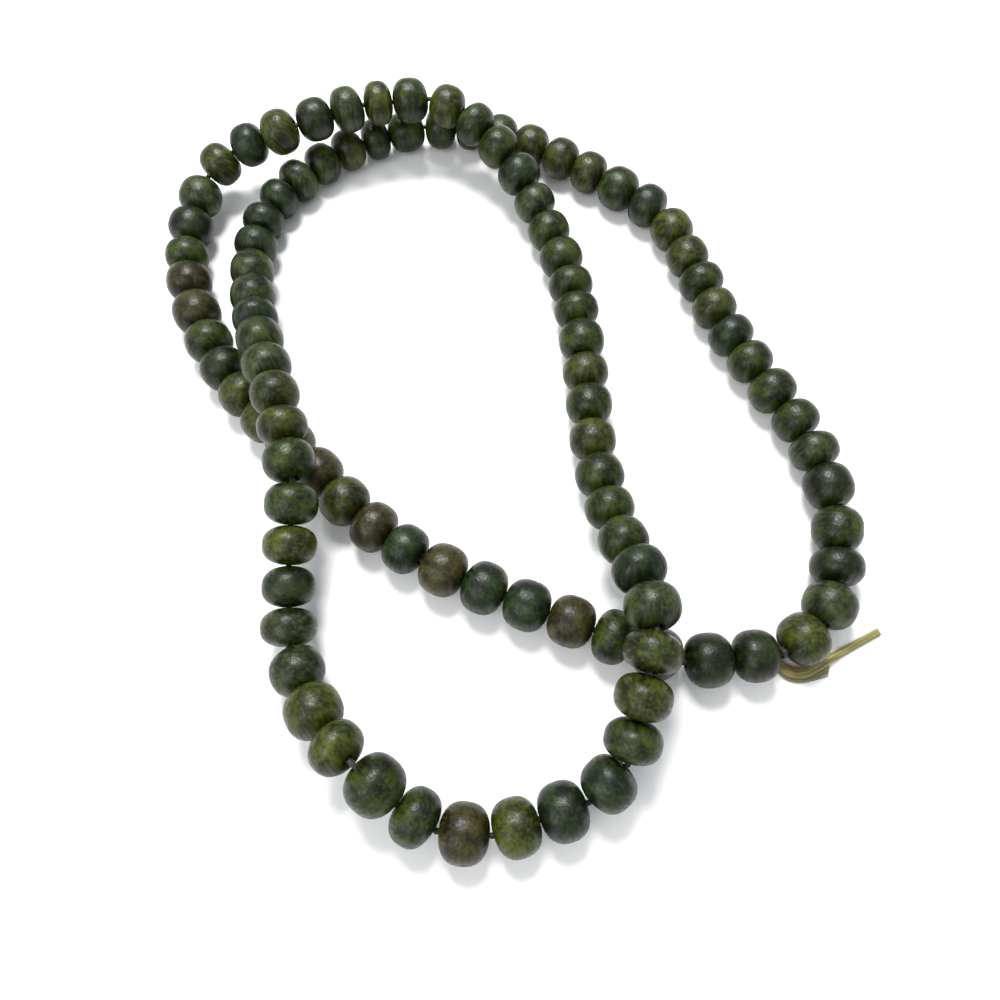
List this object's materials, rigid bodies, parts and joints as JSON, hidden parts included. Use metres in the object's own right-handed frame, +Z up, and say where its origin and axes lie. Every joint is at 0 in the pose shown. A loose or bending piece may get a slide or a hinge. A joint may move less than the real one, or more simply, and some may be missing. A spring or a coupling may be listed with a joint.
{
  "type": "misbaha prayer beads",
  "caption": "Strand of hand-turned, green-dyed wooden prayer beads threaded on one cord, knotted with raffia and laid down in two turns.",
  "frame": {"origin": "on the surface that the strand lies on, under the middle of the bead field's box", "axes": "+Z up, +Y from the side where the strand is tied towards the far turn, +X to the side of the tie"},
  "size_m": [0.1487, 0.1738, 0.0208],
  "materials": {
    "dyed_wood": "green dyed, hand turned, satin lacquer",
    "raffia": "dry straw-coloured plant fibre"
  },
  "bodies": {
    "string": {"cord": "raffia", "knot": "raffia", "tail": "raffia", "short_end": "raffia"},
    "beads_001_002": {"beads_001_002": "dyed_wood"},
    "beads_003_004": {"beads_003_004": "dyed_wood"},
    "beads_005_006": {"beads_005_006": "dyed_wood"},
    "beads_007_008": {"beads_007_008": "dyed_wood"},
    "beads_009_010": {"beads_009_010": "dyed_wood"},
    "beads_011_012": {"beads_011_012": "dyed_wood"},
    "beads_013_014": {"beads_013_014": "dyed_wood"},
    "beads_015_016": {"beads_015_016": "dyed_wood"},
    "beads_017_018": {"beads_017_018": "dyed_wood"},
    "beads_019_020": {"beads_019_020": "dyed_wood"},
    "beads_021_022": {"beads_021_022": "dyed_wood"},
    "bead_023": {"bead_023": "dyed_wood"},
    "beads_024_025": {"beads_024_025": "dyed_wood"},
    "beads_026_027": {"beads_026_027": "dyed_wood"},
    "beads_028_029": {"beads_028_029": "dyed_wood"},
    "bead_030": {"bead_030": "dyed_wood"},
    "beads_031_032": {"beads_031_032": "dyed_wood"},
    "beads_033_034": {"beads_033_034": "dyed_wood"},
    "beads_035_036": {"beads_035_036": "dyed_wood"},
    "beads_037_038": {"beads_037_038": "dyed_wood"},
    "beads_039_040": {"beads_039_040": "dyed_wood"},
    "beads_041_042": {"beads_041_042": "dyed_wood"},
    "beads_043_044": {"beads_043_044": "dyed_wood"},
    "beads_045_046": {"beads_045_046": "dyed_wood"},
    "bead_047": {"bead_047": "dyed_wood"},
    "bead_048": {"bead_048": "dyed_wood"},
    "beads_049_050": {"beads_049_050": "dyed_wood"},
    "bead_051": {"bead_051": "dyed_wood"},
    "beads_052_053": {"beads_052_053": "dyed_wood"},
    "bead_054": {"bead_054": "dyed_wood"},
    "bead_055": {"bead_055": "dyed_wood"},
    "bead_056": {"bead_056": "dyed_wood"},
    "bead_057": {"bead_057": "dyed_wood"},
    "beads_058_059": {"beads_058_059": "dyed_wood"},
    "beads_060_061": {"beads_060_061": "dyed_wood"},
    "beads_062_063": {"beads_062_063": "dyed_wood"},
    "beads_064_065": {"beads_064_065": "dyed_wood"},
    "beads_066_067": {"beads_066_067": "dyed_wood"},
    "beads_068_069": {"beads_068_069": "dyed_wood"},
    "beads_070_071": {"beads_070_071": "dyed_wood"},
    "beads_072_073": {"beads_072_073": "dyed_wood"},
    "beads_074_075": {"beads_074_075": "dyed_wood"},
    "beads_076_077": {"beads_076_077": "dyed_wood"},
    "beads_078_079": {"beads_078_079": "dyed_wood"},
    "beads_080_081": {"beads_080_081": "dyed_wood"},
    "beads_082_083": {"beads_082_083": "dyed_wood"},
    "beads_084_085": {"beads_084_085": "dyed_wood"},
    "beads_086_087": {"beads_086_087": "dyed_wood"},
    "beads_088_089": {"beads_088_089": "dyed_wood"},
    "beads_090_091": {"beads_090_091": "dyed_wood"},
    "beads_092_093": {"beads_092_093": "dyed_wood"},
    "beads_094_095": {"beads_094_095": "dyed_wood"},
    "beads_096_097": {"beads_096_097": "dyed_wood"},
    "beads_098_099": {"beads_098_099": "dyed_wood"},
    "bead_100": {"bead_100": "dyed_wood"},
    "bead_101": {"bead_101": "dyed_wood"}
  },
  "joints": [
    {"name": "turn_001_002", "type": "hinge", "parent": "string", "child": "beads_001_002", "pos_m": [0.04501, -0.05286, 0.00515], "axis": [-0.9958, -0.0919, 0], "continuous": true},
    {"name": "turn_003_004", "type": "hinge", "parent": "string", "child": "beads_003_004", "pos_m": [0.02829, -0.05062, 0.00515], "axis": [-0.9335, 0.3586, 0], "continuous": true},
    {"name": "turn_005_006", "type": "hinge", "parent": "string", "child": "beads_005_006", "pos_m": [0.01261, -0.0446, 0.00515], "axis": [-0.9334, 0.3589, 0], "continuous": true},
    {"name": "turn_007_008", "type": "hinge", "parent": "string", "child": "beads_007_008", "pos_m": [-0.00328, -0.03789, 0.00515], "axis": [-0.9083, 0.4183, 0], "continuous": true},
    {"name": "turn_009_010", "type": "hinge", "parent": "string", "child": "beads_009_010", "pos_m": [-0.0175, -0.0297, 0.00515], "axis": [-0.8119, 0.5838, 0], "continuous": true},
    {"name": "turn_011_012", "type": "hinge", "parent": "string", "child": "beads_011_012", "pos_m": [-0.02984, -0.01857, 0.00515], "axis": [-0.6734, 0.7393, 0], "continuous": true},
    {"name": "turn_013_014", "type": "hinge", "parent": "string", "child": "beads_013_014", "pos_m": [-0.04168, -0.00631, 0.00515], "axis": [-0.7166, 0.6974, 0], "continuous": true},
    {"name": "turn_015_016", "type": "hinge", "parent": "string", "child": "beads_015_016", "pos_m": [-0.0526, 0.00598, 0.00515], "axis": [-0.6061, 0.7954, 0], "continuous": true},
    {"name": "turn_017_018", "type": "hinge", "parent": "string", "child": "beads_017_018", "pos_m": [-0.06142, 0.02031, 0.00515], "axis": [-0.4435, 0.8963, 0], "continuous": true},
    {"name": "turn_019_020", "type": "hinge", "parent": "string", "child": "beads_019_020", "pos_m": [-0.0671, 0.03597, 0.00515], "axis": [-0.2237, 0.9747, 0], "continuous": true},
    {"name": "turn_021_022", "type": "hinge", "parent": "string", "child": "beads_021_022", "pos_m": [-0.06771, 0.05258, 0.00625], "axis": [0.1378, 0.9826, 0.1242], "continuous": true},
    {"name": "turn_023", "type": "hinge", "parent": "string", "child": "bead_023", "pos_m": [-0.06276, 0.06447, 0.0093], "axis": [0.7504, 0.5367, 0.3858], "continuous": true},
    {"name": "turn_024_025", "type": "hinge", "parent": "string", "child": "beads_024_025", "pos_m": [-0.05165, 0.06843, 0.01326], "axis": [0.9406, 0.198, 0.2758], "continuous": true},
    {"name": "turn_026_027", "type": "hinge", "parent": "string", "child": "beads_026_027", "pos_m": [-0.03631, 0.07331, 0.0157], "axis": [0.9188, 0.3944, 0.0176], "continuous": true},
    {"name": "turn_028_029", "type": "hinge", "parent": "string", "child": "beads_028_029", "pos_m": [-0.02111, 0.07781, 0.01564], "axis": [0.9859, 0.1654, -0.0254], "continuous": true},
    {"name": "turn_030", "type": "hinge", "parent": "string", "child": "bead_030", "pos_m": [-0.00897, 0.07739, 0.01482], "axis": [0.9104, -0.3905, -0.1367], "continuous": true},
    {"name": "turn_031_032", "type": "hinge", "parent": "string", "child": "beads_031_032", "pos_m": [0.00057, 0.07046, 0.0121], "axis": [0.7049, -0.6571, -0.2669], "continuous": true},
    {"name": "turn_033_034", "type": "hinge", "parent": "string", "child": "beads_033_034", "pos_m": [0.00989, 0.05823, 0.00776], "axis": [0.4522, -0.8505, -0.2688], "continuous": true},
    {"name": "turn_035_036", "type": "hinge", "parent": "string", "child": "beads_035_036", "pos_m": [0.01628, 0.04322, 0.00535], "axis": [0.3149, -0.9488, -0.0237], "continuous": true},
    {"name": "turn_037_038", "type": "hinge", "parent": "string", "child": "beads_037_038", "pos_m": [0.01994, 0.02802, 0.00515], "axis": [0.1406, -0.9901, 0], "continuous": true},
    {"name": "turn_039_040", "type": "hinge", "parent": "string", "child": "beads_039_040", "pos_m": [0.02144, 0.0126, 0.00515], "axis": [0.0582, -0.9983, 0], "continuous": true},
    {"name": "turn_041_042", "type": "hinge", "parent": "string", "child": "beads_041_042", "pos_m": [0.02222, -0.00393, 0.00515], "axis": [0.0366, -0.9993, 0], "continuous": true},
    {"name": "turn_043_044", "type": "hinge", "parent": "string", "child": "beads_043_044", "pos_m": [0.02389, -0.02024, 0.00653], "axis": [0.1679, -0.9709, 0.1708], "continuous": true},
    {"name": "turn_045_046", "type": "hinge", "parent": "string", "child": "beads_045_046", "pos_m": [0.02729, -0.03513, 0.01104], "axis": [0.2561, -0.8829, 0.3936], "continuous": true},
    {"name": "turn_047", "type": "hinge", "parent": "string", "child": "bead_047", "pos_m": [0.02966, -0.0463, 0.015], "axis": [0.0794, -0.9779, 0.1935], "continuous": true},
    {"name": "turn_048", "type": "hinge", "parent": "string", "child": "bead_048", "pos_m": [0.02906, -0.05429, 0.01538], "axis": [-0.2477, -0.9613, -0.1203], "continuous": true},
    {"name": "turn_049_050", "type": "hinge", "parent": "string", "child": "beads_049_050", "pos_m": [0.02643, -0.06451, 0.01195], "axis": [-0.2295, -0.8883, -0.3978], "continuous": true},
    {"name": "turn_051", "type": "hinge", "parent": "string", "child": "bead_051", "pos_m": [0.02147, -0.07426, 0.00733], "axis": [-0.7022, -0.6271, -0.3371], "continuous": true},
    {"name": "turn_052_053", "type": "hinge", "parent": "string", "child": "beads_052_053", "pos_m": [0.01022, -0.07959, 0.00548], "axis": [-0.9538, -0.2977, -0.04], "continuous": true},
    {"name": "turn_054", "type": "hinge", "parent": "string", "child": "bead_054", "pos_m": [-0.00224, -0.08174, 0.0053], "axis": [-0.9965, 0.0772, 0.033], "continuous": true},
    {"name": "turn_055", "type": "hinge", "parent": "string", "child": "bead_055", "pos_m": [-0.01026, -0.07931, 0.00625], "axis": [-0.8388, 0.5076, 0.197], "continuous": true},
    {"name": "turn_056", "type": "hinge", "parent": "string", "child": "bead_056", "pos_m": [-0.01674, -0.0746, 0.00903], "axis": [-0.6898, 0.5838, 0.4282], "continuous": true},
    {"name": "turn_057", "type": "hinge", "parent": "string", "child": "bead_057", "pos_m": [-0.02332, -0.06893, 0.01014], "axis": [-0.7219, 0.6358, -0.2731], "continuous": true},
    {"name": "turn_058_059", "type": "hinge", "parent": "string", "child": "beads_058_059", "pos_m": [-0.03002, -0.05924, 0.00729], "axis": [-0.4714, 0.8554, -0.2146], "continuous": true},
    {"name": "turn_060_061", "type": "hinge", "parent": "string", "child": "beads_060_061", "pos_m": [-0.03465, -0.04393, 0.0074], "axis": [-0.0486, 0.9648, 0.2585], "continuous": true},
    {"name": "turn_062_063", "type": "hinge", "parent": "string", "child": "beads_062_063", "pos_m": [-0.03485, -0.02956, 0.01192], "axis": [0.0193, 0.9406, 0.339], "continuous": true},
    {"name": "turn_064_065", "type": "hinge", "parent": "string", "child": "beads_064_065", "pos_m": [-0.0367, -0.01474, 0.01521], "axis": [-0.261, 0.9621, 0.0788], "continuous": true},
    {"name": "turn_066_067", "type": "hinge", "parent": "string", "child": "beads_066_067", "pos_m": [-0.04158, 0.00009, 0.01449], "axis": [-0.3549, 0.9209, -0.1609], "continuous": true},
    {"name": "turn_068_069", "type": "hinge", "parent": "string", "child": "beads_068_069", "pos_m": [-0.04695, 0.01476, 0.01104], "axis": [-0.3146, 0.9098, -0.2706], "continuous": true},
    {"name": "turn_070_071", "type": "hinge", "parent": "string", "child": "beads_070_071", "pos_m": [-0.05125, 0.03055, 0.00707], "axis": [-0.2011, 0.9583, -0.2029], "continuous": true},
    {"name": "turn_072_073", "type": "hinge", "parent": "string", "child": "beads_072_073", "pos_m": [-0.05224, 0.04673, 0.00519], "axis": [0.111, 0.9938, -0.0053], "continuous": true},
    {"name": "turn_074_075", "type": "hinge", "parent": "string", "child": "beads_074_075", "pos_m": [-0.04715, 0.06055, 0.00515], "axis": [0.5633, 0.8263, 0], "continuous": true},
    {"name": "turn_076_077", "type": "hinge", "parent": "string", "child": "beads_076_077", "pos_m": [-0.03697, 0.07148, 0.00515], "axis": [0.7795, 0.6265, 0], "continuous": true},
    {"name": "turn_078_079", "type": "hinge", "parent": "string", "child": "beads_078_079", "pos_m": [-0.02322, 0.07924, 0.00515], "axis": [0.9362, 0.3514, 0], "continuous": true},
    {"name": "turn_080_081", "type": "hinge", "parent": "string", "child": "beads_080_081", "pos_m": [-0.00779, 0.0816, 0.00515], "axis": [0.9974, -0.0727, 0], "continuous": true},
    {"name": "turn_082_083", "type": "hinge", "parent": "string", "child": "beads_082_083", "pos_m": [0.00758, 0.07718, 0.00515], "axis": [0.8948, -0.4465, 0], "continuous": true},
    {"name": "turn_084_085", "type": "hinge", "parent": "string", "child": "beads_084_085", "pos_m": [0.02186, 0.06869, 0.00515], "axis": [0.8185, -0.5745, 0], "continuous": true},
    {"name": "turn_086_087", "type": "hinge", "parent": "string", "child": "beads_086_087", "pos_m": [0.03515, 0.05841, 0.00515], "axis": [0.7636, -0.6457, 0], "continuous": true},
    {"name": "turn_088_089", "type": "hinge", "parent": "string", "child": "beads_088_089", "pos_m": [0.04501, 0.04406, 0.00515], "axis": [0.327, -0.945, 0], "continuous": true},
    {"name": "turn_090_091", "type": "hinge", "parent": "string", "child": "beads_090_091", "pos_m": [0.04994, 0.02862, 0.00515], "axis": [0.2784, -0.9605, 0], "continuous": true},
    {"name": "turn_092_093", "type": "hinge", "parent": "string", "child": "beads_092_093", "pos_m": [0.05538, 0.01425, 0.00515], "axis": [0.4259, -0.9048, 0], "continuous": true},
    {"name": "turn_094_095", "type": "hinge", "parent": "string", "child": "beads_094_095", "pos_m": [0.06239, 0.00014, 0.00515], "axis": [0.4631, -0.8863, 0], "continuous": true},
    {"name": "turn_096_097", "type": "hinge", "parent": "string", "child": "beads_096_097", "pos_m": [0.06778, -0.01525, 0.00515], "axis": [0.1906, -0.9817, 0], "continuous": true},
    {"name": "turn_098_099", "type": "hinge", "parent": "string", "child": "beads_098_099", "pos_m": [0.06785, -0.03132, 0.00515], "axis": [-0.1862, -0.9825, 0], "continuous": true},
    {"name": "turn_100", "type": "hinge", "parent": "string", "child": "bead_100", "pos_m": [0.06438, -0.043, 0.00515], "axis": [-0.4622, -0.8868, 0], "continuous": true},
    {"name": "turn_101", "type": "hinge", "parent": "string", "child": "bead_101", "pos_m": [0.05847, -0.0494, 0.00515], "axis": [-0.8481, -0.5298, 0], "continuous": true}
  ]
}
